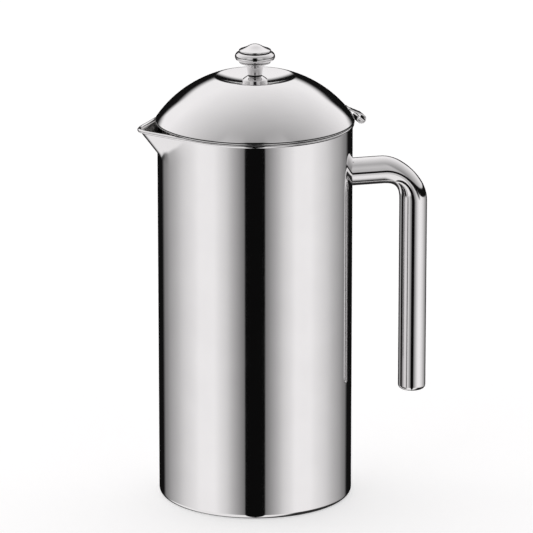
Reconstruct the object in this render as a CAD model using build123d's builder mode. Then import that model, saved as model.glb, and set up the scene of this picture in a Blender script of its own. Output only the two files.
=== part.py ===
from build123d import *
import math
import os

# A double-walled steel french press.  Millimetres, +Z up, origin on the pot's axis at its foot.
# The handle points along +X and the pouring lip along -X; everything is drawn fully pressed down.

# Sheet and fits
SHEET = 0.8
SEAT_GAP = 0.05
RUNNING_FIT = 0.05

# Pot
POT_RADIUS = 50.0
LINER_RADIUS = 46.0
RIM_BEAD_RADIUS = 0.9
RIM_LEVEL = 197.1
RIM_CENTRE_RADIUS = POT_RADIUS - 0.1
FOOT_CORNER = 2.5
FOOT_LAND = 1.5
BASE_DISC_THICKNESS = 1.0
LINER_FLOOR = 7.0
LINER_CORNER = 7.0
NECK_START = 177.0
NECK_END = 190.0

# Pouring lip: a V-shaped beak pressed out of both walls
LIP_REACH = 61.4
LIP_HALF_ANGLE = 18.0
LIP_ROOT_LEVEL = 182.5
LIP_EDGE_ROUND = 1.6
BEAK_OVERRUN = 1.5

# Handle: one bent tube, squashed a little in its bend
HANDLE_LEVEL = 167.7
HANDLE_REACH = 85.0
HANDLE_RADIUS = 7.2
HANDLE_WALL = 1.2
HANDLE_BEND = 17.6
HANDLE_SQUASH = 0.155
HANDLE_END_LEVEL = 48.3
HANDLE_END_ROUND = 2.2
END_PLUG_HEIGHT = 3.0
BEND_SECTIONS = 9
WELD_WIDTH = 0.5
WELD_HEIGHT = 0.5
BACKING_RADIUS = 15.0
BACKING_THICKNESS = 1.2

# Lid
LID_EDGE_BEAD = 0.7
LID_EDGE_RADIUS = 50.6
LID_EDGE_LEVEL = RIM_LEVEL + RIM_BEAD_RADIUS + SEAT_GAP + LID_EDGE_BEAD
DOME_FOOT_RADIUS = 50.8
DOME_FOOT_LEVEL = LID_EDGE_LEVEL + LID_EDGE_BEAD - 0.05
DOME_CURVE = 58.5
DISH_RADIUS = 20.4
DISH_EDGE_LEVEL = 221.9
DISH_FLOOR = 218.4
DISH_EDGE_ROUND = 3.5
SKIRT_RADIUS = 47.7
SKIRT_BOTTOM = 188.0
SKIRT_LAP = 0.6
SKIRT_TOP = LID_EDGE_LEVEL - LID_EDGE_BEAD + SKIRT_LAP
POUR_SLOT_COUNT = 9
POUR_SLOT_STEP = 7.0
POUR_SLOT_WIDTH = 3.2
POUR_SLOT_HEIGHT = 5.5
POUR_SLOT_MARGIN = 1.0
PLATE_LEVEL = 196.0
PLATE_BOSS_LEVEL = 199.0
PLATE_BOSS_RADIUS = 14.0
PLATE_SLOPE = 5.0
TAB_WIDTH = 8.0
TAB_START_RADIUS = 47.8
TAB_LEAVE_RADIUS = 49.6
TAB_ROLL_RADIUS = 2.5
TAB_SLOPE = 28.0
TAB_ROLL_CENTRE = (55.7, 196.3)
TAB_GAP_ANGLE = 215.0
TAB_GAP_WIDTH = 1.2

# Guide through the middle of the lid
ROD_RADIUS = 3.0
BUSH_WALL = 0.6
GUIDE_RADIUS = 4.6
GUIDE_BOTTOM = 193.5
GUIDE_TOP = 219.2
GUIDE_FLANGE_RADIUS = 8.0
COLLAR_TOP = 222.2
COLLAR_TOP_RADIUS = 3.95
COLLAR_WAIST = 220.1
COLLAR_RADIUS = 6.45
NUT_FLATS = 13.0
NUT_HEIGHT = 3.5
WASHER_RADIUS = 8.5
WASHER_THICKNESS = 0.8

# Plunger knob
THREAD_RADIUS = 2.4
KNOB_BOTTOM = COLLAR_TOP + SEAT_GAP
KNOB_NECK_RADIUS = 3.85
KNOB_NECK_LEVEL = 223.6
KNOB_FLANGE_RADIUS = 7.95
KNOB_FLANGE_LEVEL = 228.5
KNOB_FLANGE_HEIGHT = 0.9
KNOB_FLANGE_STEP = 1.6
KNOB_RING_RADIUS = 10.25
KNOB_RING_LEVEL = 232.0
KNOB_RING_ROUND = 2.3
KNOB_CAP_RADIUS = 8.2
KNOB_CAP_EDGE = 0.6
KNOB_CAP_SHOULDER = 1.5
KNOB_TOP = 238.45
INSERT_RADIUS = 4.6
INSERT_BOTTOM = 227.0

# Filter stack on the lower end of the rod
FILTER_NUT_BOTTOM = 23.5
FILTER_NUT_HEIGHT = 3.5
FILTER_NUT_RADIUS = 6.0
CROSS_PLATE_RADIUS = 42.0
CROSS_PLATE_THICKNESS = 1.0
CROSS_RIM_HEIGHT = 1.6
CROSS_HOLE_COUNT = 6
CROSS_HOLE_RADIUS = 9.0
CROSS_HOLE_CIRCLE = 25.0
MESH_RADIUS = 44.7
MESH_THICKNESS = 0.3
MESH_LIP = 1.2
SPREADER_RADIUS = 40.6
SPREADER_THICKNESS = 0.8
SPREADER_RIM = 2.4
SPREADER_HOLE_RADIUS = 3.2
SPREADER_RINGS = ((13.0, 8), (23.0, 14), (33.0, 20))
SPRING_CIRCLE = 43.25
SPRING_COIL = 1.3
SPRING_WIRE = 0.35
SPRING_TURNS = 72
SPRING_POINTS = 8
SPRING_ROUND = 0.995
HUB_RADIUS = 5.5
HUB_HEIGHT = 8.0
HUB_CHAMFER = 1.0
ROD_END = 1.0

CROSS_LEVEL = FILTER_NUT_BOTTOM + FILTER_NUT_HEIGHT
MESH_LEVEL = CROSS_LEVEL + CROSS_PLATE_THICKNESS
SPREADER_LEVEL = MESH_LEVEL + MESH_THICKNESS
HUB_LEVEL = SPREADER_LEVEL + SPREADER_THICKNESS

os.makedirs("parts", exist_ok=True)


def save(node, label):
    """Name a finished piece and write it out."""
    node.part.label = label
    export_step(node.part, f"parts/{label}.step")


def dome_level(radius):
    """Height of the dome's outside at a distance from the axis."""
    foot = Vector(DOME_FOOT_RADIUS, DOME_FOOT_LEVEL)
    crest = Vector(DISH_RADIUS, DISH_EDGE_LEVEL)
    chord = crest - foot
    middle = (foot + crest) / 2
    inward = Vector(-chord.Y, chord.X).normalized()
    rise = math.sqrt(DOME_CURVE**2 - (chord.length / 2) ** 2)
    centre = middle + inward * rise
    return centre.Y + math.sqrt(DOME_CURVE**2 - (radius - centre.X) ** 2)


def lip_corners():
    """The beak's tip, one end of its lip on the rim, and the foot of its keel."""
    half = math.radians(LIP_HALF_ANGLE)
    tip = Vector(-LIP_REACH, 0, RIM_LEVEL)
    end = Vector(-POT_RADIUS * math.cos(half), POT_RADIUS * math.sin(half), RIM_LEVEL)
    foot = Vector(-POT_RADIUS, 0, LIP_ROOT_LEVEL)
    return tip, end, foot


def add_beak(inset, mode=Mode.ADD):
    """Add the pouring lip's wedge, its faces moved inward by inset and run on into the pot."""
    tip, end, foot = lip_corners()
    face_normal = (end - tip).cross(foot - tip).normalized()
    shift = Vector(inset / abs(face_normal.X), 0, 0)
    inner_end = tip + (end - tip) * BEAK_OVERRUN
    inner_foot = tip + (foot - tip) * BEAK_OVERRUN
    with BuildSketch(Plane.XY.offset(RIM_LEVEL)) as lip_plan:
        with Locations((shift.X, 0)):
            Polygon((tip.X, 0), (inner_end.X, inner_end.Y), (inner_end.X, -inner_end.Y), align=None)
    loft(sections=[lip_plan.sketch.face(), Vertex(*(inner_foot + shift))], ruled=True, mode=mode)


# ---------------------------------------------------------------- pot

def pot_section(inset):
    """Half section of the outer wall's form, filled to the axis and moved inward by inset."""
    with BuildSketch(Plane.XZ) as section:
        with BuildLine():
            Polyline(
                (0, inset),
                (POT_RADIUS - inset, inset),
                (POT_RADIUS - inset, RIM_LEVEL),
                (0, RIM_LEVEL),
                close=True,
            )
        make_face()
        corner = section.vertices().sort_by_distance((POT_RADIUS, 0, 0))[0]
        fillet(corner, radius=FOOT_CORNER - inset)
    return section.sketch


with BuildPart() as pot_outer_shell:
    add(pot_section(0))
    revolve(axis=Axis.Z)
    add_beak(0)
    beak_edges = pot_outer_shell.edges().filter_by_position(Axis.X, -LIP_REACH, -POT_RADIUS - 1)
    fillet(beak_edges.sort_by(Axis.Z)[0], radius=LIP_EDGE_ROUND)
    add(pot_section(SHEET))
    revolve(axis=Axis.Z, mode=Mode.SUBTRACT)
    add_beak(SHEET, mode=Mode.SUBTRACT)
    foot_hole = POT_RADIUS - FOOT_CORNER - FOOT_LAND
    Cylinder(foot_hole, 4 * SHEET, mode=Mode.SUBTRACT)

save(pot_outer_shell, "pot_outer_shell")


def liner_section(inset):
    """Half section of the inner wall's form: a straight cup that widens to meet the outer wall."""
    wall = LINER_RADIUS - inset
    mouth = POT_RADIUS - SHEET - inset
    with BuildSketch(Plane.XZ) as section:
        with BuildLine():
            Polyline((0, LINER_FLOOR + inset), (wall, LINER_FLOOR + inset), (wall, NECK_START))
            Spline((wall, NECK_START), (mouth, NECK_END), tangents=((0, 1), (0, 1)))
            Polyline((mouth, NECK_END), (mouth, RIM_LEVEL), (0, RIM_LEVEL), (0, LINER_FLOOR + inset))
        make_face()
        corner = section.vertices().sort_by_distance((LINER_RADIUS, 0, LINER_FLOOR))[0]
        fillet(corner, radius=LINER_CORNER - inset)
    return section.sketch


with BuildPart() as pot_inner_liner:
    add(liner_section(0))
    revolve(axis=Axis.Z)
    add_beak(SHEET)
    add(liner_section(SHEET))
    revolve(axis=Axis.Z, mode=Mode.SUBTRACT)
    add_beak(2 * SHEET, mode=Mode.SUBTRACT)

save(pot_inner_liner, "pot_inner_liner")

with BuildPart() as pot_rim_bead:
    tip, end, foot = lip_corners()
    start_angle = math.radians(180 + LIP_HALF_ANGLE)
    across = Plane(
        origin=(0, 0, RIM_LEVEL),
        x_dir=(math.cos(start_angle), math.sin(start_angle), 0),
        z_dir=(math.sin(start_angle), -math.cos(start_angle), 0),
    )
    with BuildSketch(across):
        with Locations((RIM_CENTRE_RADIUS, 0)):
            Circle(RIM_BEAD_RADIUS)
    revolve(axis=Axis.Z, revolution_arc=360 - 2 * LIP_HALF_ANGLE)
    for side in (1, -1):
        lip_end = Vector(end.X, side * end.Y, end.Z) * (RIM_CENTRE_RADIUS / POT_RADIUS)
        lip_end.Z = RIM_LEVEL
        with BuildSketch(Plane(origin=tip, z_dir=lip_end - tip)):
            Circle(RIM_BEAD_RADIUS)
        extrude(amount=(lip_end - tip).length)
        with Locations(lip_end):
            Sphere(RIM_BEAD_RADIUS)
    with Locations(tip):
        Sphere(RIM_BEAD_RADIUS)
    add([pot_outer_shell.part, pot_inner_liner.part], mode=Mode.SUBTRACT)

save(pot_rim_bead, "pot_rim_bead")

with BuildPart() as pot_base_disc:
    with BuildSketch():
        Circle(foot_hole)
    extrude(amount=BASE_DISC_THICKNESS)

save(pot_base_disc, "pot_base_disc")


# ---------------------------------------------------------------- handle

def bend_plane(turn):
    """Cross-section plane of the handle after turning through an angle in degrees of its bend."""
    angle = math.radians(turn)
    centre_x = HANDLE_REACH - HANDLE_BEND
    centre_z = HANDLE_LEVEL - HANDLE_BEND
    origin = (centre_x + HANDLE_BEND * math.sin(angle), 0, centre_z + HANDLE_BEND * math.cos(angle))
    outward = (math.sin(angle), 0, math.cos(angle))
    along = (math.cos(angle), 0, -math.sin(angle))
    return Plane(origin=origin, x_dir=outward, z_dir=along)


def bend_section(turn, radius):
    """The handle's round section, squashed most at the middle of the bend."""
    squash = 1 - HANDLE_SQUASH * math.sin(math.radians(2 * turn)) ** 2
    with BuildSketch(bend_plane(turn)) as section:
        Ellipse(radius * squash, radius)
    return section.sketch.face()


def add_handle_tube(radius, mode=Mode.ADD):
    """Add the solid run of the handle: level arm, squashed bend, upright grip."""
    arm_length = HANDLE_REACH - HANDLE_BEND - LINER_RADIUS
    grip_length = HANDLE_LEVEL - HANDLE_BEND - HANDLE_END_LEVEL - END_PLUG_HEIGHT
    turns = [90 * index / (BEND_SECTIONS - 1) for index in range(BEND_SECTIONS)]
    sections = [bend_section(turn, radius) for turn in turns]
    extrude(sections[0], amount=-arm_length, mode=mode)
    extrude(sections[-1], amount=grip_length, mode=mode)
    loft(sections=sections, mode=mode)


with BuildPart() as handle_tube:
    add_handle_tube(HANDLE_RADIUS)
    add_handle_tube(HANDLE_RADIUS - HANDLE_WALL, mode=Mode.SUBTRACT)
    with Locations((0, 0, HANDLE_LEVEL)):
        Cylinder(POT_RADIUS, 4 * HANDLE_RADIUS, mode=Mode.SUBTRACT)

save(handle_tube, "handle_tube")

with BuildPart() as handle_end_plug:
    with BuildSketch(Plane.XY.offset(HANDLE_END_LEVEL)):
        with Locations((HANDLE_REACH, 0)):
            Circle(HANDLE_RADIUS)
    extrude(amount=END_PLUG_HEIGHT)
    fillet(handle_end_plug.edges().sort_by(Axis.Z)[0], radius=HANDLE_END_ROUND)

save(handle_end_plug, "handle_end_plug")


def add_wall_patch(radius, inside, outside, bore=0):
    """Add a round patch of wall between two radii of the pot, centred where the handle meets it."""
    with BuildSketch(Plane.YZ.offset(LINER_RADIUS)) as patch:
        with Locations((0, HANDLE_LEVEL)):
            Circle(radius)
            if bore:
                Circle(bore, mode=Mode.SUBTRACT)
    extrude(patch.sketch, amount=POT_RADIUS - LINER_RADIUS + 2 * WELD_HEIGHT)
    with BuildSketch(Plane.XY.offset(HANDLE_LEVEL - 2 * radius)) as wall:
        Circle(outside)
        Circle(inside, mode=Mode.SUBTRACT)
    extrude(wall.sketch, amount=4 * radius, mode=Mode.INTERSECT)


with BuildPart() as handle_weld:
    add_wall_patch(HANDLE_RADIUS + WELD_WIDTH, POT_RADIUS, POT_RADIUS + WELD_HEIGHT, bore=HANDLE_RADIUS)

save(handle_weld, "handle_weld")

with BuildPart() as handle_backing_plate:
    backing_outside = POT_RADIUS - SHEET
    add_wall_patch(BACKING_RADIUS, backing_outside - BACKING_THICKNESS, backing_outside)

save(handle_backing_plate, "handle_backing_plate")


# ---------------------------------------------------------------- lid

dish_depth = DISH_EDGE_LEVEL - DISH_FLOOR
dish_curve = (DISH_RADIUS**2 + dish_depth**2) / (2 * dish_depth)


def dish_level(radius):
    """Height of the top dish's surface at a distance from the axis."""
    return DISH_FLOOR + dish_curve - math.sqrt(dish_curve**2 - radius**2)


with BuildPart() as lid_dome:
    with BuildSketch(Plane.XZ):
        with BuildLine() as lid_line:
            dish_start = (GUIDE_RADIUS, dish_level(GUIDE_RADIUS))
            RadiusArc(dish_start, (DISH_RADIUS, DISH_EDGE_LEVEL), -dish_curve)
            RadiusArc((DISH_RADIUS, DISH_EDGE_LEVEL), (DOME_FOOT_RADIUS, DOME_FOOT_LEVEL), DOME_CURVE)
            crest = lid_line.vertices().sort_by_distance((DISH_RADIUS, DISH_EDGE_LEVEL, 0))[0]
            fillet(crest, radius=DISH_EDGE_ROUND)
            offset(amount=SHEET, side=Side.RIGHT)
        make_face()
        with Locations((LID_EDGE_RADIUS, LID_EDGE_LEVEL)):
            Circle(LID_EDGE_BEAD)
    revolve(axis=Axis.Z)

save(lid_dome, "lid_dome")

with BuildPart() as lid_skirt:
    with BuildSketch(Plane.XZ):
        with BuildLine() as skirt_line:
            Polyline(
                (LID_EDGE_RADIUS - LID_EDGE_BEAD, SKIRT_TOP),
                (SKIRT_RADIUS, SKIRT_TOP),
                (SKIRT_RADIUS, SKIRT_BOTTOM),
            )
            offset(amount=SHEET, side=Side.RIGHT)
        make_face()
    revolve(axis=Axis.Z)
    slot_level = SKIRT_TOP - SHEET - POUR_SLOT_MARGIN - POUR_SLOT_HEIGHT / 2
    for index in range(POUR_SLOT_COUNT):
        angle = 180 + (index - (POUR_SLOT_COUNT - 1) / 2) * POUR_SLOT_STEP
        with Locations(Location((0, 0, slot_level), (0, 0, angle))):
            Box(
                POT_RADIUS,
                POUR_SLOT_WIDTH,
                POUR_SLOT_HEIGHT,
                align=(Align.MIN, Align.CENTER, Align.CENTER),
                mode=Mode.SUBTRACT,
            )
    add(lid_dome.part, mode=Mode.SUBTRACT)

save(lid_skirt, "lid_skirt")

with BuildPart() as lid_inner_plate:
    with BuildSketch(Plane.XZ):
        with BuildLine() as plate_line:
            Polyline(
                (GUIDE_RADIUS + RUNNING_FIT, PLATE_BOSS_LEVEL),
                (PLATE_BOSS_RADIUS, PLATE_BOSS_LEVEL),
                (PLATE_BOSS_RADIUS + PLATE_SLOPE, PLATE_LEVEL),
                (SKIRT_RADIUS - SHEET, PLATE_LEVEL),
            )
            offset(amount=SHEET, side=Side.LEFT)
        make_face()
    revolve(axis=Axis.Z)

save(lid_inner_plate, "lid_inner_plate")

with BuildPart() as lid_thumb_tab:
    roll_x, roll_z = TAB_ROLL_CENTRE
    roll_middle = TAB_ROLL_RADIUS - SHEET / 2
    entry_angle = math.radians(TAB_SLOPE)
    entry = (roll_x + roll_middle * math.sin(entry_angle), roll_z + roll_middle * math.cos(entry_angle))
    with BuildSketch(Plane.XZ):
        with BuildLine():
            land = RadiusArc(
                (TAB_START_RADIUS, dome_level(TAB_START_RADIUS) + SHEET / 2),
                (TAB_LEAVE_RADIUS, dome_level(TAB_LEAVE_RADIUS) + SHEET / 2),
                DOME_CURVE,
            )
            Line(land @ 1, entry)
            offset(amount=SHEET / 2)
        make_face()
        with Locations((roll_x, roll_z)):
            Circle(TAB_ROLL_RADIUS)
            Circle(TAB_ROLL_RADIUS - SHEET, mode=Mode.SUBTRACT)
        with Locations(Location((roll_x, roll_z), TAB_GAP_ANGLE)):
            Rectangle(TAB_ROLL_RADIUS * 2, TAB_GAP_WIDTH, align=(Align.MIN, Align.CENTER), mode=Mode.SUBTRACT)
    extrude(amount=TAB_WIDTH / 2, both=True)
    under_start = TAB_START_RADIUS - 2 * SHEET
    under_crest = (under_start, dome_level(under_start))
    with BuildSketch(Plane.XZ):
        with BuildLine():
            RadiusArc(under_crest, (DOME_FOOT_RADIUS, DOME_FOOT_LEVEL), DOME_CURVE)
            Polyline(
                under_crest,
                (under_start, LID_EDGE_LEVEL),
                (DOME_FOOT_RADIUS, LID_EDGE_LEVEL),
                (DOME_FOOT_RADIUS, DOME_FOOT_LEVEL),
            )
        make_face()
    revolve(axis=Axis.Z, mode=Mode.SUBTRACT)

save(lid_thumb_tab, "lid_thumb_tab")


# ---------------------------------------------------------------- guide

with BuildPart() as guide_collar:
    with BuildSketch(Plane.XZ):
        with BuildLine():
            Polyline(
                (ROD_RADIUS + RUNNING_FIT, COLLAR_TOP),
                (COLLAR_TOP_RADIUS, COLLAR_TOP),
                (COLLAR_RADIUS, COLLAR_WAIST),
                (COLLAR_RADIUS, dish_level(COLLAR_RADIUS)),
                (GUIDE_RADIUS, dish_level(GUIDE_RADIUS)),
                (GUIDE_RADIUS, GUIDE_TOP),
                (ROD_RADIUS + RUNNING_FIT, GUIDE_TOP),
                close=True,
            )
        make_face()
    revolve(axis=Axis.Z)

save(guide_collar, "guide_collar")

with BuildPart() as guide_tube:
    bush_radius = ROD_RADIUS + RUNNING_FIT + BUSH_WALL
    with BuildSketch(Plane.XY.offset(GUIDE_BOTTOM)):
        Circle(GUIDE_RADIUS)
        Circle(bush_radius, mode=Mode.SUBTRACT)
    extrude(amount=GUIDE_TOP - GUIDE_BOTTOM)
    with BuildSketch(Plane.XY.offset(dish_level(GUIDE_RADIUS) - SHEET)):
        Circle(GUIDE_FLANGE_RADIUS)
        Circle(bush_radius, mode=Mode.SUBTRACT)
    extrude(amount=-SHEET)

save(guide_tube, "guide_tube")

with BuildPart() as guide_bush:
    with BuildSketch(Plane.XY.offset(GUIDE_BOTTOM)):
        Circle(bush_radius)
        Circle(ROD_RADIUS + RUNNING_FIT, mode=Mode.SUBTRACT)
    extrude(amount=GUIDE_TOP - GUIDE_BOTTOM)

save(guide_bush, "guide_bush")

with BuildPart() as guide_washer:
    with BuildSketch(Plane.XY.offset(PLATE_BOSS_LEVEL)):
        Circle(WASHER_RADIUS)
        Circle(GUIDE_RADIUS + RUNNING_FIT, mode=Mode.SUBTRACT)
    extrude(amount=-WASHER_THICKNESS)

save(guide_washer, "guide_washer")

with BuildPart() as guide_nut:
    with BuildSketch(Plane.XY.offset(PLATE_BOSS_LEVEL - WASHER_THICKNESS)):
        RegularPolygon(NUT_FLATS / 2, 6, major_radius=False)
        Circle(GUIDE_RADIUS, mode=Mode.SUBTRACT)
    extrude(amount=-NUT_HEIGHT)

save(guide_nut, "guide_nut")


# ---------------------------------------------------------------- knob and rod

bore = THREAD_RADIUS + RUNNING_FIT
knob_crown = KNOB_RING_LEVEL + KNOB_RING_ROUND

with BuildPart() as knob_body:
    with BuildSketch(Plane.XZ):
        with BuildLine():
            stem = Line((bore, KNOB_BOTTOM), (KNOB_NECK_RADIUS, KNOB_BOTTOM))
            waist = Line(stem @ 1, (KNOB_NECK_RADIUS, KNOB_NECK_LEVEL))
            flare = Spline(
                waist @ 1,
                (KNOB_FLANGE_RADIUS - KNOB_FLANGE_STEP, KNOB_FLANGE_LEVEL - 0.5),
                tangents=((0, 1), (1, 0.5)),
            )
            Polyline(flare @ 1, (KNOB_FLANGE_RADIUS, KNOB_FLANGE_LEVEL), (bore, KNOB_FLANGE_LEVEL), stem @ 0)
        make_face()
        with Locations((bore, KNOB_FLANGE_LEVEL)):
            Rectangle(KNOB_FLANGE_RADIUS - bore, KNOB_FLANGE_HEIGHT, align=(Align.MIN, Align.MIN))
            core_width = KNOB_RING_RADIUS - KNOB_RING_ROUND - bore
            Rectangle(core_width, knob_crown - KNOB_FLANGE_LEVEL, align=(Align.MIN, Align.MIN))
        with Locations((KNOB_RING_RADIUS - KNOB_RING_ROUND, KNOB_RING_LEVEL)):
            Circle(KNOB_RING_ROUND)
        with Locations((bore, INSERT_BOTTOM)):
            insert_height = knob_crown - INSERT_BOTTOM
            Rectangle(INSERT_RADIUS - bore, insert_height, align=(Align.MIN, Align.MIN), mode=Mode.SUBTRACT)
    revolve(axis=Axis.Z)

save(knob_body, "knob_body")

with BuildPart() as knob_insert:
    with BuildSketch(Plane.XY.offset(INSERT_BOTTOM)):
        Circle(INSERT_RADIUS)
        Circle(bore, mode=Mode.SUBTRACT)
    extrude(amount=insert_height)

save(knob_insert, "knob_insert")

with BuildPart() as knob_cap:
    with BuildSketch(Plane.XZ):
        with BuildLine():
            Polyline(
                (0, knob_crown),
                (KNOB_CAP_RADIUS, knob_crown),
                (KNOB_CAP_RADIUS, knob_crown + KNOB_CAP_EDGE),
            )
            Spline(
                (KNOB_CAP_RADIUS, knob_crown + KNOB_CAP_EDGE),
                (KNOB_CAP_RADIUS / 2, KNOB_TOP - KNOB_CAP_SHOULDER),
                (0, KNOB_TOP),
                tangents=((-1, 0.45), (-1, 0)),
            )
            Line((0, KNOB_TOP), (0, knob_crown))
        make_face()
    revolve(axis=Axis.Z)

save(knob_cap, "knob_cap")

with BuildPart() as plunger_rod:
    rod_foot = HUB_LEVEL + HUB_HEIGHT
    with BuildSketch(Plane.XY.offset(rod_foot)):
        Circle(ROD_RADIUS)
    extrude(amount=KNOB_BOTTOM - rod_foot)
    thread_foot = FILTER_NUT_BOTTOM - ROD_END
    with BuildSketch(Plane.XY.offset(thread_foot)):
        Circle(THREAD_RADIUS)
    extrude(amount=knob_crown - ROD_END - thread_foot)

save(plunger_rod, "plunger_rod")


# ---------------------------------------------------------------- filter

with BuildPart() as filter_nut:
    with BuildSketch(Plane.XY.offset(FILTER_NUT_BOTTOM)):
        RegularPolygon(FILTER_NUT_RADIUS, 6)
        Circle(bore, mode=Mode.SUBTRACT)
    extrude(amount=FILTER_NUT_HEIGHT)

save(filter_nut, "filter_nut")

with BuildPart() as cross_plate:
    with BuildSketch(Plane.XY.offset(CROSS_LEVEL)):
        Circle(CROSS_PLATE_RADIUS)
        Circle(bore, mode=Mode.SUBTRACT)
        with PolarLocations(CROSS_HOLE_CIRCLE, CROSS_HOLE_COUNT):
            Circle(CROSS_HOLE_RADIUS, mode=Mode.SUBTRACT)
    extrude(amount=CROSS_PLATE_THICKNESS)
    with BuildSketch(Plane.XY.offset(CROSS_LEVEL)):
        Circle(CROSS_PLATE_RADIUS)
        Circle(CROSS_PLATE_RADIUS - CROSS_PLATE_THICKNESS, mode=Mode.SUBTRACT)
    extrude(amount=-CROSS_RIM_HEIGHT)

save(cross_plate, "cross_plate")

with BuildPart() as filter_mesh:
    with BuildSketch(Plane.XZ):
        with BuildLine():
            Polyline(
                (bore, MESH_LEVEL),
                (MESH_RADIUS - MESH_LIP, MESH_LEVEL),
                (MESH_RADIUS, MESH_LEVEL - MESH_LIP),
            )
            offset(amount=MESH_THICKNESS, side=Side.LEFT)
        make_face()
    revolve(axis=Axis.Z)

save(filter_mesh, "filter_mesh")

with BuildPart() as spreader_plate:
    with BuildSketch(Plane.XY.offset(SPREADER_LEVEL)):
        Circle(SPREADER_RADIUS)
        Circle(bore, mode=Mode.SUBTRACT)
        for ring_radius, hole_count in SPREADER_RINGS:
            with PolarLocations(ring_radius, hole_count):
                Circle(SPREADER_HOLE_RADIUS, mode=Mode.SUBTRACT)
    extrude(amount=SPREADER_THICKNESS)
    with BuildSketch(Plane.XY.offset(SPREADER_LEVEL)):
        Circle(SPREADER_RADIUS)
        Circle(SPREADER_RADIUS - SPREADER_THICKNESS, mode=Mode.SUBTRACT)
    extrude(amount=SPREADER_RIM)

save(spreader_plate, "spreader_plate")

with BuildPart() as edge_spring:
    coil_points = []
    point_count = SPRING_TURNS * SPRING_POINTS
    spring_level = SPREADER_LEVEL + SPRING_COIL + SPRING_WIRE
    for index in range(point_count + 1):
        share = SPRING_ROUND * index / point_count
        around = 2 * math.pi * share
        coil = around * SPRING_TURNS
        radius = SPRING_CIRCLE + SPRING_COIL * math.cos(coil)
        level = spring_level + SPRING_COIL * math.sin(coil)
        coil_points.append((radius * math.cos(around), radius * math.sin(around), level))
    with BuildLine() as coil_line:
        wire = Spline(*coil_points)
    with BuildSketch(Plane(origin=wire @ 0, z_dir=wire % 0)):
        Circle(SPRING_WIRE)
    sweep(path=coil_line.line, is_frenet=True)

save(edge_spring, "edge_spring")

with BuildPart() as filter_hub:
    with BuildSketch(Plane.XY.offset(HUB_LEVEL)):
        Circle(HUB_RADIUS)
        Circle(bore, mode=Mode.SUBTRACT)
    extrude(amount=HUB_HEIGHT)
    chamfer(filter_hub.edges().group_by(Axis.Z)[-1].sort_by(SortBy.LENGTH)[-1], length=HUB_CHAMFER)

save(filter_hub, "filter_hub")
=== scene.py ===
import math

import bmesh
import bpy
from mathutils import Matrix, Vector


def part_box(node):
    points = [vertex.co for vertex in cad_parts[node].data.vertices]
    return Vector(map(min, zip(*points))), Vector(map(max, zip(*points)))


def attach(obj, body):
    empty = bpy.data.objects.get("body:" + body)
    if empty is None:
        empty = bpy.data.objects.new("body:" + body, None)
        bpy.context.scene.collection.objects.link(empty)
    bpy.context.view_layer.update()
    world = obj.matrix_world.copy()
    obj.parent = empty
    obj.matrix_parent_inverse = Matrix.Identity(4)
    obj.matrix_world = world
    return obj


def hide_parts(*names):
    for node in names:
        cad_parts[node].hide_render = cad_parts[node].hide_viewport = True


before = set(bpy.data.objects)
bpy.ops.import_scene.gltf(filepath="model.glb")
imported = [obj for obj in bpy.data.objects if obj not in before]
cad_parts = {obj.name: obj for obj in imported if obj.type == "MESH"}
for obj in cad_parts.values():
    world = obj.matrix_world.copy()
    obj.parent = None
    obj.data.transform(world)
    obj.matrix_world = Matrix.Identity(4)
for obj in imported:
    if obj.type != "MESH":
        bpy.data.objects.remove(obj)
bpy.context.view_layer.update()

# A double-walled steel french press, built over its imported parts.  Metres, +Z up, handle along +X.

MM = 0.001
SHEET = 0.8 * MM
SHARP_DEGREES = 35

# Camera: angles in degrees, then distance, height looked at, sideways shift and lens in mm
VIEW_AZIMUTH = -15.5
VIEW_ELEVATION = 15.72
VIEW_DISTANCE = 2.4704
VIEW_HEIGHT = 0.12069
VIEW_PAN = 5.87 * MM
LENS = 323.64

# ---------------------------------------------------------------- mesh helpers


def finish_mesh(name, mesh):
    """Weld points that fall together, turn the faces outward, shade smooth and add to the scene."""
    work = bmesh.new()
    work.from_mesh(mesh)
    bmesh.ops.remove_doubles(work, verts=work.verts, dist=1e-6)
    bmesh.ops.dissolve_degenerate(work, edges=work.edges, dist=1e-7)
    bmesh.ops.recalc_face_normals(work, faces=work.faces)
    work.to_mesh(mesh)
    work.free()
    mesh.shade_smooth()
    mesh.set_sharp_from_angle(angle=math.radians(SHARP_DEGREES))
    piece = bpy.data.objects.new(name, mesh)
    bpy.context.scene.collection.objects.link(piece)
    return piece


def mesh_from_rows(name, rows, closed_rows=True, capped=False):
    """A skin through rows of points.  Every row is a closed ring; the last row may join the first."""
    count = len(rows[0])
    points = [tuple(point) for row in rows for point in row]
    faces = []
    for row in range(len(rows) if closed_rows else len(rows) - 1):
        this = row * count
        following = (row + 1) % len(rows) * count
        for index in range(count):
            step = (index + 1) % count
            faces.append((this + index, this + step, following + step, following + index))
    if capped:
        faces.append(tuple(range(count)))
        faces.append(tuple(range(len(points) - count, len(points))))
    mesh = bpy.data.meshes.new(name)
    mesh.from_pydata(points, [], faces)
    return finish_mesh(name, mesh)


def turned(name, outline, segments=288):
    """A turned piece: a closed outline of (radius, height) points spun round the pot's axis."""
    rows = []
    for radius, height in outline:
        ring = []
        for index in range(segments):
            angle = 2 * math.pi * index / segments
            ring.append((radius * math.cos(angle), radius * math.sin(angle), height))
        rows.append(ring)
    return mesh_from_rows(name, rows)


def arc(centre, radius, start, end, step=3.0):
    """Points on an arc between two angles in degrees."""
    count = max(2, math.ceil(abs(end - start) / step))
    points = []
    for index in range(count + 1):
        angle = math.radians(start + (end - start) * index / count)
        points.append((centre[0] + radius * math.cos(angle), centre[1] + radius * math.sin(angle)))
    return points


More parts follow.
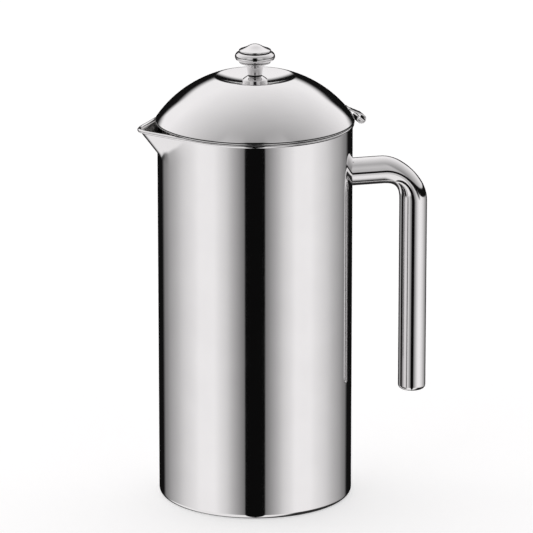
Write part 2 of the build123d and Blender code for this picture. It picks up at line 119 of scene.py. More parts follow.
def flow(start, start_way, end, end_way, count=24):
    """Points on a smooth line between two points, each with its own direction (Hermite)."""
    points = []
    for index in range(count + 1):
        t = index / count
        a = 2 * t**3 - 3 * t**2 + 1
        b = t**3 - 2 * t**2 + t
        c = 3 * t**2 - 2 * t**3
        d = t**3 - t**2
        parts = zip(start, start_way, end, end_way)
        points.append(tuple(a * p + b * q + c * u + d * v for p, q, u, v in parts))
    return points


def angle_of(point, centre):
    """Direction in degrees from a centre to a point."""
    return math.degrees(math.atan2(point[1] - centre[1], point[0] - centre[0]))


def stand_in(piece, body, slot, *nodes):
    """Tie a new piece to its CAD body and material slot, in place of the nodes that it stands for."""
    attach(piece, body)
    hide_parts(*nodes)
    piece.data.materials.append(MATERIALS[slot])
    return piece


# ---------------------------------------------------------------- material helpers


class Recipe:
    """A node material under construction."""

    def __init__(self, name):
        self.material = bpy.data.materials.new(name)
        self.material.use_nodes = True
        self.nodes = self.material.node_tree.nodes
        self.links = self.material.node_tree.links
        self.shader = self.nodes["Principled BSDF"]
        self.place = self.nodes.new("ShaderNodeTexCoord").outputs["Object"]

    def math(self, operation, first, second=None, third=None):
        node = self.nodes.new("ShaderNodeMath")
        node.operation = operation
        for socket, value in zip(node.inputs, (first, second, third)):
            if value is None:
                continue
            if isinstance(value, (int, float)):
                socket.default_value = value
            else:
                self.links.new(value, socket)
        return node.outputs[0]

    def stretched(self, scale):
        node = self.nodes.new("ShaderNodeVectorMath")
        node.operation = "MULTIPLY"
        self.links.new(self.place, node.inputs[0])
        node.inputs[1].default_value = scale
        return node.outputs[0]

    def round_place(self):
        """Coordinates that follow a turned piece: distance from the axis, nothing, height."""
        split = self.nodes.new("ShaderNodeSeparateXYZ")
        self.links.new(self.place, split.inputs[0])
        x_square = self.math("POWER", split.outputs[0], 2)
        y_square = self.math("POWER", split.outputs[1], 2)
        radius = self.math("SQRT", self.math("ADD", x_square, y_square))
        join = self.nodes.new("ShaderNodeCombineXYZ")
        self.links.new(radius, join.inputs[0])
        self.links.new(split.outputs[2], join.inputs[2])
        return join.outputs[0]

    def noise(self, where, scale, detail=3.0, rough=0.55):
        node = self.nodes.new("ShaderNodeTexNoise")
        self.links.new(where, node.inputs["Vector"])
        node.inputs["Scale"].default_value = scale
        node.inputs["Detail"].default_value = detail
        node.inputs["Roughness"].default_value = rough
        return node.outputs[0]

    def spread(self, value, low, high, out_low, out_high):
        node = self.nodes.new("ShaderNodeMapRange")
        self.links.new(value, node.inputs["Value"])
        names = ("From Min", "From Max", "To Min", "To Max")
        for name, number in zip(names, (low, high, out_low, out_high)):
            node.inputs[name].default_value = number
        return node.outputs[0]

    def colours(self, value, stops):
        node = self.nodes.new("ShaderNodeValToRGB")
        self.links.new(value, node.inputs[0])
        ramp = node.color_ramp
        while len(ramp.elements) < len(stops):
            ramp.elements.new(0.5)
        for element, (position, colour) in zip(ramp.elements, stops):
            element.position = position
            element.color = (*colour, 1)
        return node.outputs[0]

    def tinted(self, share, colour, other):
        node = self.nodes.new("ShaderNodeMix")
        node.data_type = "RGBA"
        self.links.new(share, node.inputs[0])
        self.links.new(colour, node.inputs[6])
        node.inputs[7].default_value = (*other, 1)
        return node.outputs[2]

    def bump(self, height, strength, distance, under=None):
        node = self.nodes.new("ShaderNodeBump")
        node.inputs["Strength"].default_value = strength
        node.inputs["Distance"].default_value = distance
        self.links.new(height, node.inputs["Height"])
        if under is not None:
            self.links.new(under, node.inputs["Normal"])
        return node.outputs[0]

    def use(self, colour, roughness, normal, metallic=1.0):
        self.links.new(colour, self.shader.inputs["Base Color"])
        self.links.new(roughness, self.shader.inputs["Roughness"])
        self.links.new(normal, self.shader.inputs["Normal"])
        self.shader.inputs["Metallic"].default_value = metallic
        return self.material


# Creases painted near black as shade: level, half height, inner and outer radius, in mm.
# Over the lid's edge bead, under it, knob on collar, cap on ring, ring on flange.
SHADE_CREASES = (
    (198.85, 0.32, 49.5, 51.3),
    (198.03, 0.2, 49.7, 52.0),
    (222.25, 0.5, 3.0, 4.2),
    (234.5, 0.26, 7.1, 8.5),
    (229.55, 0.2, 6.0, 8.2),
)


def painted_shade_in_creases(recipe):
    """1 inside any of the creases that get painted shade, 0 elsewhere."""
    split = recipe.nodes.new("ShaderNodeSeparateXYZ")
    recipe.links.new(recipe.round_place(), split.inputs[0])
    radius, _, level = split.outputs
    inside = None
    for middle, half, inner, outer in SHADE_CREASES:
        off_level = recipe.math("ABSOLUTE", recipe.math("SUBTRACT", level, middle * MM))
        near = recipe.spread(off_level, half * MM, half * 0.6 * MM, 0, 1)
        middle_radius = (inner + outer) / 2 * MM
        within = recipe.math("COMPARE", radius, middle_radius, (outer - inner) / 2 * MM)
        ring = recipe.math("MULTIPLY", near, within)
        inside = ring if inside is None else recipe.math("MAXIMUM", inside, ring)
    return inside


def polished_steel():
    """Mirror-polished sheet: faint smudges, very fine polishing lines and painted shade that darkens its
    creases.
    """
    recipe = Recipe("polished_steel")
    shade_mask = painted_shade_in_creases(recipe)
    smudge = recipe.noise(recipe.place, 45, 4)
    grain = recipe.noise(recipe.stretched((1, 1, 0.06)), 9000, 2)
    colour = recipe.colours(smudge, [(0.3, (0.80, 0.792, 0.795)), (0.7, (0.835, 0.828, 0.83))])
    base = recipe.spread(smudge, 0.3, 0.7, 0.045, 0.075)
    fine = recipe.spread(grain, 0.3, 0.7, -0.01, 0.02)
    roughness = recipe.math("ADD", base, fine)
    roughness = recipe.math("ADD", roughness, recipe.math("MULTIPLY", shade_mask, 0.3))
    # painted shade: the creases' base colour is turned near black where contact shade falls
    colour = recipe.tinted(shade_mask, colour, (0.03, 0.03, 0.03))
    peel = recipe.noise(recipe.place, 160, 2)
    normal = recipe.bump(peel, 0.02, 0.02 * MM)
    normal = recipe.bump(grain, 0.03, 0.004 * MM, normal)
    return recipe.use(colour, roughness, normal)


def satin_steel():
    """Brushed sheet: lines that run round the turned parts."""
    recipe = Recipe("satin_steel")
    line = recipe.noise(recipe.round_place(), 6000, 3, 0.7)
    tone = recipe.noise(recipe.place, 60, 3)
    colour = recipe.colours(tone, [(0.3, (0.63, 0.62, 0.61)), (0.7, (0.70, 0.69, 0.68))])
    roughness = recipe.spread(line, 0.3, 0.7, 0.24, 0.38)
    normal = recipe.bump(line, 0.18, 0.02 * MM)
    return recipe.use(colour, roughness, normal)


def filter_steel():
    """Fine woven wire cloth: two crossing sets of wires with dark gaps."""
    recipe = Recipe("filter_steel")
    pitch = 0.45 * MM
    split = recipe.nodes.new("ShaderNodeSeparateXYZ")
    recipe.links.new(recipe.place, split.inputs[0])
    wires = []
    for axis in (0, 1):
        wave = recipe.math("SINE", recipe.math("MULTIPLY", split.outputs[axis], math.pi / pitch))
        wires.append(recipe.math("ABSOLUTE", wave))
    height = recipe.math("MAXIMUM", *wires)
    cloud = recipe.noise(recipe.place, 120, 3)
    shown = recipe.math("ADD", height, recipe.spread(cloud, 0.3, 0.7, -0.08, 0.08))
    colour = recipe.colours(shown, [(0.45, (0.05, 0.05, 0.05)), (0.7, (0.58, 0.57, 0.55))])
    roughness = recipe.spread(cloud, 0.3, 0.7, 0.28, 0.42)
    normal = recipe.bump(height, 0.5, 0.08 * MM)
    return recipe.use(colour, roughness, normal)


def guide_plastic():
    """Slippery white bush, finely grained."""
    recipe = Recipe("guide_plastic")
    cloud = recipe.noise(recipe.place, 300, 4)
    colour = recipe.colours(cloud, [(0.3, (0.74, 0.73, 0.70)), (0.7, (0.82, 0.81, 0.79))])
    roughness = recipe.spread(cloud, 0.3, 0.7, 0.42, 0.58)
    normal = recipe.bump(recipe.noise(recipe.place, 5000, 2), 0.1, 0.02 * MM)
    return recipe.use(colour, roughness, normal, metallic=0.0)


def insert_brass():
    """Turned brass with tool lines and a little tarnish."""
    recipe = Recipe("insert_brass")
    cloud = recipe.noise(recipe.place, 400, 4)
    line = recipe.noise(recipe.round_place(), 5000, 2)
    colour = recipe.colours(cloud, [(0.3, (0.60, 0.44, 0.20)), (0.7, (0.76, 0.60, 0.30))])
    roughness = recipe.spread(cloud, 0.3, 0.7, 0.2, 0.4)
    normal = recipe.bump(line, 0.15, 0.02 * MM)
    return recipe.use(colour, roughness, normal)


MATERIALS = {
    "polished_steel": polished_steel(),
    "satin_steel": satin_steel(),
    "filter_steel": filter_steel(),
    "guide_plastic": guide_plastic(),
    "insert_brass": insert_brass(),
}


def dress_cad_nodes():
    """Give every CAD node the finished material of its slot."""
    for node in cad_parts.values():
        for slot in node.material_slots:
            name = slot.material.name.split(".")[0]
            slot.material = MATERIALS[name]


# ---------------------------------------------------------------- pot

low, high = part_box("pot_outer_shell")
POT_RADIUS = high.x
RIM_LEVEL = high.z
LIP_REACH = -low.x
LIP_HALF_ANGLE = math.radians(18)
LIP_ROOT_LEVEL = 182.5 * MM
LIP_SPREAD = math.radians(41)
KEEL_BLEND = 1.5 * MM
LIP_BLEND = 8.0 * MM
KEEL_ROUND = 0.09
FOOT_CORNER = 2.5 * MM
FOOT_LAND = 1.5 * MM
NECK_START = 177 * MM
NECK_END = 190 * MM
LINER_RADIUS = 46 * MM
LINER_FLOOR = 7 * MM
LINER_CORNER = 7 * MM
BEAD_RADIUS = 0.9 * MM
BEAD_INSET = 0.1 * MM


def around():
    """Angles round the pot, close together at the lip."""
    angles = []
    angle = 0.0
    while angle < 360:
        angles.append(math.radians(angle))
        angle += 0.25 if 150 <= angle < 210 else 1.0
    return angles


def lip_radius(angle, height, inset):
    """Distance from the axis to the lip's face at an angle and height, or None away from the lip."""
    if abs(angle - math.pi) > LIP_SPREAD:
        return None
    tip = Vector((-LIP_REACH, 0, RIM_LEVEL))
    end = Vector((-POT_RADIUS * math.cos(LIP_HALF_ANGLE), POT_RADIUS * math.sin(LIP_HALF_ANGLE), RIM_LEVEL))
    root = Vector((-POT_RADIUS, 0, LIP_ROOT_LEVEL))
    face = (end - tip).cross(root - tip).normalized()
    if face.x > 0:
        face = -face
    side = math.sqrt(math.sin(angle) ** 2 + KEEL_ROUND**2) - KEEL_ROUND
    towards = face.x * math.cos(angle) + face.y * side
    return (face.dot(tip) - inset - face.z * height) / towards


def smooth(value, low, high):
    share = min(max((value - low) / (high - low), 0), 1)
    return share * share * (3 - 2 * share)


def blended(wall, lip, angle):
    """The larger of two distances, with their meeting crease rounded off, least at the keel."""
    if lip is None:
        return wall
    away = abs(math.degrees(angle - math.pi))
    width = KEEL_BLEND + (LIP_BLEND - KEEL_BLEND) * smooth(away, 3, 15)
    share = max(width - abs(wall - lip), 0) / width
    return max(wall, lip) + share**3 * width / 6 * (1 - smooth(away, 20, 40))


def ring_at(height, wall, inset):
    """One level ring of a pot wall, lip included."""
    ring = []
    for angle in around():
        radius = blended(wall, lip_radius(angle, height, inset), angle)
        ring.append((radius * math.cos(angle), radius * math.sin(angle), height))
    return ring


def outer_levels():
    """Heights of the outer wall's rings above its foot corner, close together at the lip."""
    levels = [FOOT_CORNER, FOOT_CORNER + 1 * MM, 0.4 * LIP_ROOT_LEVEL, LIP_ROOT_LEVEL - 6 * MM]
    step = 0.4 * MM
    count = math.ceil((RIM_LEVEL - levels[-1]) / step)
    start = levels[-1]
    return levels + [start + (RIM_LEVEL - start) * (index + 1) / count for index in range(count)]


def outer_shell():
    foot = (POT_RADIUS - FOOT_CORNER, FOOT_CORNER)
    hole = foot[0] - FOOT_LAND
    rows = [ring_at(0, hole, 0)]
    for radius, height in arc(foot, FOOT_CORNER, -90, 0, 5):
        rows.append(ring_at(height, radius, 0))
    rows += [ring_at(level, POT_RADIUS, 0) for level in outer_levels()[1:]]
    rows += [ring_at(level, POT_RADIUS - SHEET, SHEET) for level in reversed(outer_levels())]
    for radius, height in arc(foot, FOOT_CORNER - SHEET, 0, -90, 10):
        rows.append(ring_at(height, radius, SHEET))
    rows.append(ring_at(SHEET, hole, SHEET))
    piece = mesh_from_rows("outer_shell", rows)
    return stand_in(piece, "pot", "polished_steel", "pot_outer_shell")


def liner_wall(height, inset):
    """The inner cup's radius at a height: straight, then widening to meet the outer wall."""
    share = min(max((height - NECK_START) / (NECK_END - NECK_START), 0), 1)
    ease = share**3 * (share * (share * 6 - 15) + 10)
    return LINER_RADIUS + (POT_RADIUS - SHEET - LINER_RADIUS) * ease - inset


def inner_liner():
    corner = (LINER_RADIUS - LINER_CORNER, LINER_FLOOR + LINER_CORNER)
    levels = [corner[1] + 1 * MM, NECK_START - 1 * MM]
    levels += [NECK_START + (RIM_LEVEL - NECK_START) * index / 50 for index in range(51)]
    rows = [ring_at(LINER_FLOOR, 1e-9, SHEET)]
    for radius, height in arc(corner, LINER_CORNER, -90, 0, 5):
        rows.append(ring_at(height, radius, SHEET))
    rows += [ring_at(level, liner_wall(level, 0), SHEET) for level in levels]
    rows += [ring_at(level, liner_wall(level, SHEET), 2 * SHEET) for level in reversed(levels)]
    for radius, height in arc(corner, LINER_CORNER - SHEET, 0, -90, 5):
        rows.append(ring_at(height, radius, 2 * SHEET))
    rows.append(ring_at(LINER_FLOOR + SHEET, 1e-9, 2 * SHEET))
    piece = mesh_from_rows("inner_liner", rows, closed_rows=False)
    return stand_in(piece, "pot", "satin_steel", "pot_inner_liner")


def rim_bead():
    """A round wire that closes both walls at the rim and runs out along the lip."""
    line = [Vector(point) for point in ring_at(RIM_LEVEL, POT_RADIUS, 0)]
    rows = []
    for index, point in enumerate(line):
        along = line[(index + 1) % len(line)] - line[index - 1]
        outward = Vector((along.y, -along.x, 0)).normalized()
        centre = point - outward * BEAD_INSET
        ring = []
        for step in range(20):
            turn = 2 * math.pi * step / 20
            offset = outward * math.cos(turn) + Vector((0, 0, math.sin(turn)))
            ring.append(centre + offset * BEAD_RADIUS)
        rows.append(ring)
    piece = mesh_from_rows("rim_bead", rows)
    return stand_in(piece, "pot", "polished_steel", "pot_rim_bead")


# ---------------------------------------------------------------- handle

low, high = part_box("handle_tube")
HANDLE_RADIUS = high.y
HANDLE_REACH = high.x - HANDLE_RADIUS
HANDLE_LEVEL = high.z - HANDLE_RADIUS
HANDLE_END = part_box("handle_end_plug")[0].z
HANDLE_BEND = 17.6 * MM
HANDLE_SQUASH = 0.155
HANDLE_END_ROUND = 2.2 * MM


def handle_ring(centre, outward, radius, squash=1.0, segments=96):
    """One ring of the handle; outward lies in the handle's own upright plane."""
    ring = []
    for index in range(segments):
        turn = 2 * math.pi * index / segments
        aside = Vector((0, radius * math.sin(turn), 0))
        ring.append(centre + outward * (radius * squash * math.cos(turn)) + aside)
    return ring


def handle():
    """One bent tube, squashed a little in its bend, closed and rounded at its free end."""
    up = Vector((0, 0, 1))
    out = Vector((1, 0, 0))
    bend_centre = Vector((HANDLE_REACH - HANDLE_BEND, 0, HANDLE_LEVEL - HANDLE_BEND))
    root = handle_ring(Vector((0, 0, HANDLE_LEVEL)), up, HANDLE_RADIUS)
    for point in root:
        point.x = math.sqrt((POT_RADIUS - 0.3 * MM) ** 2 - point.y**2)
    rows = [root]
    for share in (0.08, 0.5, 0.92):
        centre = Vector((POT_RADIUS, 0, HANDLE_LEVEL)).lerp(bend_centre + up * HANDLE_BEND, share)
        rows.append(handle_ring(centre, up, HANDLE_RADIUS))
    for index in range(46):
        turn = math.radians(2 * index)
        outward = out * math.sin(turn) + up * math.cos(turn)
        squash = 1 - HANDLE_SQUASH * math.sin(2 * turn) ** 2
        rows.append(handle_ring(bend_centre + outward * HANDLE_BEND, outward, HANDLE_RADIUS, squash))
    grip_top = Vector((HANDLE_REACH, 0, HANDLE_LEVEL - HANDLE_BEND))
    end_centre = HANDLE_END + HANDLE_END_ROUND
    for level in (grip_top.z - 1 * MM, (grip_top.z + end_centre) / 2, end_centre + 1 * MM):
        rows.append(handle_ring(Vector((HANDLE_REACH, 0, level)), out, HANDLE_RADIUS))
    for radius, level in arc((HANDLE_RADIUS - HANDLE_END_ROUND, end_centre), HANDLE_END_ROUND, 0, -90, 6):
        rows.append(handle_ring(Vector((HANDLE_REACH, 0, level)), out, radius))
    end_face = HANDLE_RADIUS - HANDLE_END_ROUND - 1 * MM
    rows.append(handle_ring(Vector((HANDLE_REACH, 0, HANDLE_END)), out, end_face))
    piece = mesh_from_rows("handle", rows, closed_rows=False, capped=True)
    return stand_in(piece, "pot", "polished_steel", "handle_tube", "handle_end_plug")


# ---------------------------------------------------------------- lid

low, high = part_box("lid_dome")
LID_EDGE_BEAD = 0.7 * MM
LID_EDGE_RADIUS = high.y - LID_EDGE_BEAD
LID_EDGE_LEVEL = low.z + LID_EDGE_BEAD
DOME_FOOT = Vector((LID_EDGE_RADIUS + 0.2 * MM, LID_EDGE_LEVEL + 0.65 * MM))
DOME_CREST = Vector((20.4 * MM, 221.9 * MM))
DOME_CURVE = 58.5 * MM
DISH_FLOOR = 218.4 * MM
CREST_ROUND = 3.5 * MM
FOOT_ROUND = 0.8 * MM
GROOVE_DEPTH = 0.6 * MM
GROOVE_HEIGHT = 0.2 * MM
BEAD_ROUND = 0.36 * MM
GUIDE_RADIUS = 4.6 * MM
TAB_WIDTH = 8 * MM
TAB_START = 48.9 * MM
TAB_LEAVE = 49.6 * MM
TAB_ROLL_RADIUS = 2.5 * MM
TAB_SLOPE = math.radians(28)
TAB_ROLL_CENTRE = Vector((55.7 * MM, 196.3 * MM))


def circle_meet(first, first_radius, second, second_radius):
    """The point where two circles cross, on the left of the line from first to second."""
    between = second - first
    gap = between.length
    along = (gap**2 + first_radius**2 - second_radius**2) / (2 * gap)
    aside = math.sqrt(first_radius**2 - along**2)
    forward = between / gap
    left = Vector((-forward.y, forward.x))
    return first + forward * along + left * aside


def dome_centre():
    """Centre of the dome's arc in its half section."""
    chord = DOME_CREST - DOME_FOOT
    inward = Vector((-chord.y, chord.x)).normalized()
    return (DOME_FOOT + DOME_CREST) / 2 + inward * math.sqrt(DOME_CURVE**2 - (chord.length / 2) ** 2)


def dome_level(radius):
    """Height of the dome's outside at a distance from the axis."""
    centre = dome_centre()
    return centre.y + math.sqrt(DOME_CURVE**2 - (radius - centre.x) ** 2)


DISH_DEPTH = DOME_CREST.y - DISH_FLOOR
DISH_CURVE = (DOME_CREST.x**2 + DISH_DEPTH**2) / (2 * DISH_DEPTH)
DISH_CENTRE = Vector((0, DISH_FLOOR + DISH_CURVE))


def dish_level(radius):
    """Height of the dish's surface at a distance from the axis."""
    return DISH_CENTRE.y - math.sqrt(DISH_CURVE**2 - radius**2)


def lid_line(depth):
    """Half section of the lid's top surface, sunk by depth: dish, rounded crest, dome."""
    centre = dome_centre()
    crest = circle_meet(DISH_CENTRE, DISH_CURVE + CREST_ROUND, centre, DOME_CURVE - CREST_ROUND)
    dish_end = angle_of(crest, DISH_CENTRE)
    dome_start = angle_of(crest, centre)
    inner = Vector((GUIDE_RADIUS, dish_level(GUIDE_RADIUS)))
    line = arc(DISH_CENTRE, DISH_CURVE + depth, angle_of(inner, DISH_CENTRE), dish_end, 0.5)
    line += arc(crest, CREST_ROUND - depth, dish_end + 180, dome_start, 5)
    foot = angle_of(DOME_FOOT, centre)
    line += arc(centre, DOME_CURVE - depth, dome_start, foot, 0.7)
    if depth < FOOT_ROUND:
        way = Vector((math.cos(math.radians(foot)), math.sin(math.radians(foot))))
        line += arc(DOME_FOOT - way * FOOT_ROUND, FOOT_ROUND - depth, foot, -5, 5)[1:]
    return line


def lid_dome():
    """Pressed dome with a dished top and a rolled edge."""
    top = lid_line(0)
    groove_floor = top[-1][0] - GROOVE_DEPTH
    groove_top = top[-1][1]
    groove_bottom = groove_top - GROOVE_HEIGHT
    groove = [(groove_floor, groove_top), (groove_floor, groove_bottom)]
    bead = Vector((LID_EDGE_RADIUS + 0.1 * MM, LID_EDGE_LEVEL - LID_EDGE_BEAD + BEAD_ROUND))
    bead_start = math.degrees(math.asin(min(1, (groove_bottom - bead.y) / BEAD_ROUND)))
    edge = arc(bead, BEAD_ROUND, bead_start, -120, 10)
    under = [point for point in reversed(lid_line(SHEET)) if point[1] > DOME_FOOT.y + 0.2 * MM]
    inner = [(bead.x - 1.2 * MM, bead.y - 0.4 * MM), (under[0][0], bead.y - 0.4 * MM)]
    piece = turned("dome", top + groove + edge + inner + under, 360)
    return stand_in(piece, "lid", "polished_steel", "lid_dome")


def thumb_tab():
    """A strip of sheet that leaves the dome, slopes over the rim and rolls under at its end."""
    middle = TAB_ROLL_RADIUS - SHEET / 2
    centre = dome_centre()
    start = angle_of((TAB_START, dome_level(TAB_START)), centre)
    leave = angle_of((TAB_LEAVE, dome_level(TAB_LEAVE)), centre)
    line = arc(centre, DOME_CURVE + SHEET / 2, start, leave, 0.7)
    entry = 90 - math.degrees(TAB_SLOPE)
    line += arc(TAB_ROLL_CENTRE, middle, entry, entry - 300, 8)
    points = [Vector(point) for point in line]
    sides = []
    for index, point in enumerate(points):
        along = points[min(index + 1, len(points) - 1)] - points[max(index - 1, 0)]
        sides.append(Vector((-along.y, along.x)).normalized() * SHEET / 2)
    section = [point + side for point, side in zip(points, sides)]
    section += [point - side for point, side in reversed(list(zip(points, sides)))]
    rows = [[(point.x, y, point.y) for point in section] for y in (-TAB_WIDTH / 2, TAB_WIDTH / 2)]
    piece = mesh_from_rows("thumb_tab", rows, closed_rows=False, capped=True)
    rounding = piece.modifiers.new("rounded_edges", "BEVEL")
    rounding.width = 0.25 * MM
    rounding.segments = 3
    rounding.limit_method = "ANGLE"
    rounding.angle_limit = math.radians(50)
    return stand_in(piece, "lid", "polished_steel", "lid_thumb_tab")


# ---------------------------------------------------------------- guide collar and knob

low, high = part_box("guide_collar")
COLLAR_TOP = high.z
COLLAR_TOP_RADIUS = 3.95 * MM
COLLAR_RADIUS = high.x
ROD_HOLE = 3.05 * MM


def guide_collar():
    """A flared collar that stands in the lid's dish."""
    waist = COLLAR_TOP - 1.9 * MM
    outline = [(ROD_HOLE, COLLAR_TOP), (COLLAR_TOP_RADIUS - 0.7 * MM, COLLAR_TOP)]
    outline += [(COLLAR_TOP_RADIUS - 0.4 * MM, COLLAR_TOP - 0.35 * MM)]
    outline += flow(
        (COLLAR_TOP_RADIUS, COLLAR_TOP - 0.45 * MM),
        (1.6 * MM, -1.1 * MM),
        (COLLAR_RADIUS - 0.4 * MM, waist + 0.05 * MM),
        (1.2 * MM, -1.3 * MM),
        8,
    )
    outline += flow(
        (COLLAR_RADIUS - 0.2 * MM, waist - 0.1 * MM),
        (0.5 * MM, -0.5 * MM),
        (COLLAR_RADIUS, waist - 0.7 * MM),
        (0, -0.5 * MM),
        6,
    )
    outline += [(COLLAR_RADIUS, dish_level(COLLAR_RADIUS)), (GUIDE_RADIUS, dish_level(GUIDE_RADIUS))]
    outline += [(GUIDE_RADIUS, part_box("guide_tube")[1].z), (ROD_HOLE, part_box("guide_tube")[1].z)]
    piece = turned("collar", outline, 144)
    return stand_in(piece, "lid_guide", "polished_steel", "guide_collar")


low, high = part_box("knob_body")
KNOB_BOTTOM = low.z
KNOB_CROWN = high.z
KNOB_RADIUS = high.x
KNOB_BORE = 2.45 * MM
KNOB_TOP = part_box("knob_cap")[1].z
NECK_RADIUS = 3.85 * MM
FLANGE_RADIUS = 7.95 * MM
FLANGE_LEVEL = KNOB_BOTTOM + 6.25 * MM
FLANGE_HEIGHT = 0.9 * MM
RING_ROUND = 2.3 * MM
CAP_RADIUS = 8.2 * MM
INSERT_RADIUS = 4.6 * MM
INSERT_BOTTOM = KNOB_BOTTOM + 4.75 * MM


def knob_body():
    """Waisted neck, thin flange and a full round ring, bored out for its insert."""
    ring = (KNOB_RADIUS - RING_ROUND, KNOB_CROWN - RING_ROUND)
    groove = FLANGE_RADIUS - 0.35 * MM
    neck_top = (FLANGE_RADIUS - 1.2 * MM, FLANGE_LEVEL - 0.35 * MM)
    outline = [(KNOB_BORE, KNOB_BOTTOM), (NECK_RADIUS - 0.6 * MM, KNOB_BOTTOM)]
    outline += [(NECK_RADIUS - 0.1 * MM, KNOB_BOTTOM + 0.45 * MM)]
    outline += flow((NECK_RADIUS, KNOB_BOTTOM + 0.6 * MM), (0, 12 * MM), neck_top, (5 * MM, 0.7 * MM))
    flange_middle = FLANGE_LEVEL + FLANGE_HEIGHT / 2
    outline += arc((FLANGE_RADIUS - FLANGE_HEIGHT / 2, flange_middle), FLANGE_HEIGHT / 2, -80, 90, 10)
    outline += [(groove, FLANGE_LEVEL + FLANGE_HEIGHT)]
    ring_start = -math.degrees(math.acos((groove - ring[0]) / RING_ROUND))
    outline += arc(ring, RING_ROUND, ring_start, 90, 4)
    outline += [(INSERT_RADIUS, KNOB_CROWN), (INSERT_RADIUS, INSERT_BOTTOM), (KNOB_BORE, INSERT_BOTTOM)]
    piece = turned("knob", outline, 192)
    return stand_in(piece, "plunger", "polished_steel", "knob_body")


def knob_cap():
    """Ogee cap on the knob's ring."""
    edge = 0.5 * MM
    outline = [(0, KNOB_CROWN), (CAP_RADIUS - 0.9 * MM, KNOB_CROWN)]
    outline += [(CAP_RADIUS - 0.7 * MM, KNOB_CROWN + 0.35 * MM)]
    outline += arc((CAP_RADIUS - edge, KNOB_CROWN + 1.5 * edge), edge, -60, 65, 12)
    start = outline[-1]
    shoulder = (CAP_RADIUS * 0.52, KNOB_TOP - 1.45 * MM)
    outline += flow(start, (-3.6 * MM, 1.3 * MM), shoulder, (-3.4 * MM, 1.9 * MM), 16)[1:]
    outline += flow(shoulder, (-3.6 * MM, 2.0 * MM), (0, KNOB_TOP), (-5.5 * MM, 0), 16)[1:]
    piece = turned("knob_crown", outline, 144)
    return stand_in(piece, "plunger", "polished_steel", "knob_cap")


# ---------------------------------------------------------------- studio


def floor():
    """A wide pale floor.  It lights the object but polished metal doesn't mirror it."""
    mesh = bpy.data.meshes.new("floor")
    half = 30
    corners = [(-half, -half, 0), (half, -half, 0), (half, half, 0), (-half, half, 0)]
    mesh.from_pydata(corners, [], [(0, 1, 2, 3)])
    piece = bpy.data.objects.new("floor", mesh)
    bpy.context.scene.collection.objects.link(piece)
    recipe = Recipe("floor_paper")
    cloud = recipe.noise(recipe.place, 3, 3)
    colour = recipe.colours(cloud, [(0.3, (0.90, 0.90, 0.90)), (0.7, (0.92, 0.92, 0.92))])
    roughness = recipe.spread(cloud, 0.3, 0.7, 0.85, 0.95)
    grain = recipe.bump(recipe.noise(recipe.place, 2500, 2), 0.05, 0.02 * MM)
    material = recipe.use(colour, roughness, grain, metallic=0.0)
    recipe.shader.inputs["Specular IOR Level"].default_value = 0
    recipe.shader.inputs["Emission Color"].default_value = (1, 1, 1, 1)
    recipe.shader.inputs["Emission Strength"].default_value = 0.42
    mesh.materials.append(material)
    piece.visible_glossy = False


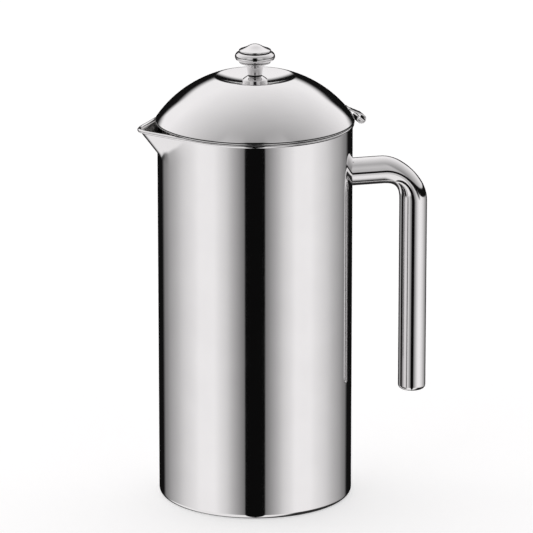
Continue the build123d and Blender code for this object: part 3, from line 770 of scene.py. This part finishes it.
def studio():
    """Soft light by direction, with dark behind the camera and behind the object."""
    world = bpy.data.worlds.new("studio")
    bpy.context.scene.world = world
    world.use_nodes = True
    nodes = world.node_tree.nodes
    links = world.node_tree.links
    background = nodes["Background"]

    def number(operation, *values):
        node = nodes.new("ShaderNodeMath")
        node.operation = operation
        for socket, value in zip(node.inputs, values):
            if isinstance(value, (int, float)):
                socket.default_value = value
            else:
                links.new(value, socket)
        return node.outputs[0]

    def between(value, low, high, out_low=0.0, out_high=1.0):
        node = nodes.new("ShaderNodeMapRange")
        node.interpolation_type = "SMOOTHSTEP"
        links.new(value, node.inputs["Value"])
        names = ("From Min", "From Max", "To Min", "To Max")
        for name, setting in zip(names, (low, high, out_low, out_high)):
            node.inputs[name].default_value = setting
        return node.outputs[0]

    def mixed(share, first, second):
        node = nodes.new("ShaderNodeMix")
        links.new(share, node.inputs[0])
        for socket, value in zip(node.inputs[2:4], (first, second)):
            if isinstance(value, (int, float)):
                socket.default_value = value
            else:
                links.new(value, socket)
        return node.outputs[0]

    direction = nodes.new("ShaderNodeTexCoord").outputs["Generated"]
    turn = nodes.new("ShaderNodeVectorRotate")
    turn.rotation_type = "Z_AXIS"
    turn.inputs["Angle"].default_value = -math.radians(VIEW_AZIMUTH)
    links.new(direction, turn.inputs["Vector"])
    split = nodes.new("ShaderNodeSeparateXYZ")
    links.new(turn.outputs[0], split.inputs[0])
    side, back, up = split.outputs
    front = number("MULTIPLY", back, -1)
    swing = number("DEGREES", number("ABSOLUTE", number("ARCTAN2", side, front)))
    rise = number("DEGREES", number("ARCSINE", up))

    panels = nodes.new("ShaderNodeValToRGB")
    links.new(number("DIVIDE", swing, 180), panels.inputs[0])
    ramp = panels.color_ramp
    ramp.interpolation = "CARDINAL"
    # Degrees round from the camera, and how bright the side light is there
    stops = [(0, 0.02), (12, 0.19), (30, 0.62), (45, 0.92), (58, 1.02)]
    stops += [(75, 0.93), (100, 0.65), (125, 0.34), (142, 0.2)]
    while len(ramp.elements) < len(stops):
        ramp.elements.new(0.5)
    for element, (degrees, level) in zip(ramp.elements, stops):
        element.position = degrees / 180
        element.color = (level, level, level, 1)
    side_light = mixed(between(swing, 10.8, 12.6), 0.005, panels.outputs[0])

    # Above: brighter towards the back, with a lamp that lights the handle's arm
    overhead = number("ADD", 0.67, number("MULTIPLY", back, 0.5))
    overhead = number("SUBTRACT", overhead, number("MULTIPLY", side, 0.09))
    lamp = number("MULTIPLY", between(swing, 12, 22), between(swing, 42, 55, 1, 0))
    lamp = number("MULTIPLY", lamp, between(rise, 30, 66, 1, 0))
    overhead = number("ADD", overhead, number("MULTIPLY", lamp, 0.34))
    overhead = number("MINIMUM", overhead, 1.02)
    table = between(number("ADD", back, side), -0.12, 0.24, 0.95, 0.03)
    light = mixed(between(rise, -6, -1), side_light, overhead)
    # Dark: the horizon, a tall strip at the camera, and the space behind the object
    gap = number("MULTIPLY", between(rise, -13.5, -11.5), between(rise, 1, 5, 1, 0))
    gap = number("MULTIPLY", gap, between(swing, 50, 66, 1, 0))
    thin_gap = number("MULTIPLY", between(rise, -9, -7.5), between(rise, 2, 5, 1, 0))
    gap = number("MAXIMUM", gap, thin_gap)
    strip = number("MULTIPLY", between(swing, 10.8, 12.6, 1, 0), between(rise, 44, 52, 1, 0))
    behind = number("MULTIPLY", between(swing, 134, 144), between(rise, 4, 14, 1, 0))
    behind_dish = number("MULTIPLY", between(swing, 146, 154), between(rise, 14, 26, 1, 0))
    behind = number("MAXIMUM", behind, behind_dish)
    light = mixed(number("MAXIMUM", gap, behind), light, 0.006)
    light = mixed(between(rise, -30, -23, 1, 0), light, table)
    light = mixed(strip, light, 0.004)
    tint = nodes.new("ShaderNodeVectorMath")
    tint.operation = "SCALE"
    tint.inputs[0].default_value = (1.0, 0.985, 0.99)
    links.new(light, tint.inputs["Scale"])
    links.new(tint.outputs[0], background.inputs["Color"])


def camera():
    azimuth = math.radians(VIEW_AZIMUTH)
    elevation = math.radians(VIEW_ELEVATION)
    back = Vector(
        (
            math.sin(azimuth) * math.cos(elevation),
            -math.cos(azimuth) * math.cos(elevation),
            math.sin(elevation),
        )
    )
    right = Vector((math.cos(azimuth), math.sin(azimuth), 0))
    data = bpy.data.cameras.new("camera")
    data.lens = LENS
    data.sensor_width = 36
    data.clip_end = 100
    rig = bpy.data.objects.new("camera", data)
    target = Vector((0, 0, VIEW_HEIGHT)) + right * VIEW_PAN
    rig.location = target + back * VIEW_DISTANCE
    rig.rotation_mode = "QUATERNION"
    rig.rotation_quaternion = (-back).to_track_quat("-Z", "Y")
    bpy.context.scene.collection.objects.link(rig)
    bpy.context.scene.camera = rig


# ---------------------------------------------------------------- build

dress_cad_nodes()
outer_shell()
inner_liner()
rim_bead()
handle()
lid_dome()
thumb_tab()
guide_collar()
knob_body()
knob_cap()
floor()
studio()
camera()
bpy.context.scene.view_settings.view_transform = "Standard"

bpy.context.view_layer.update()
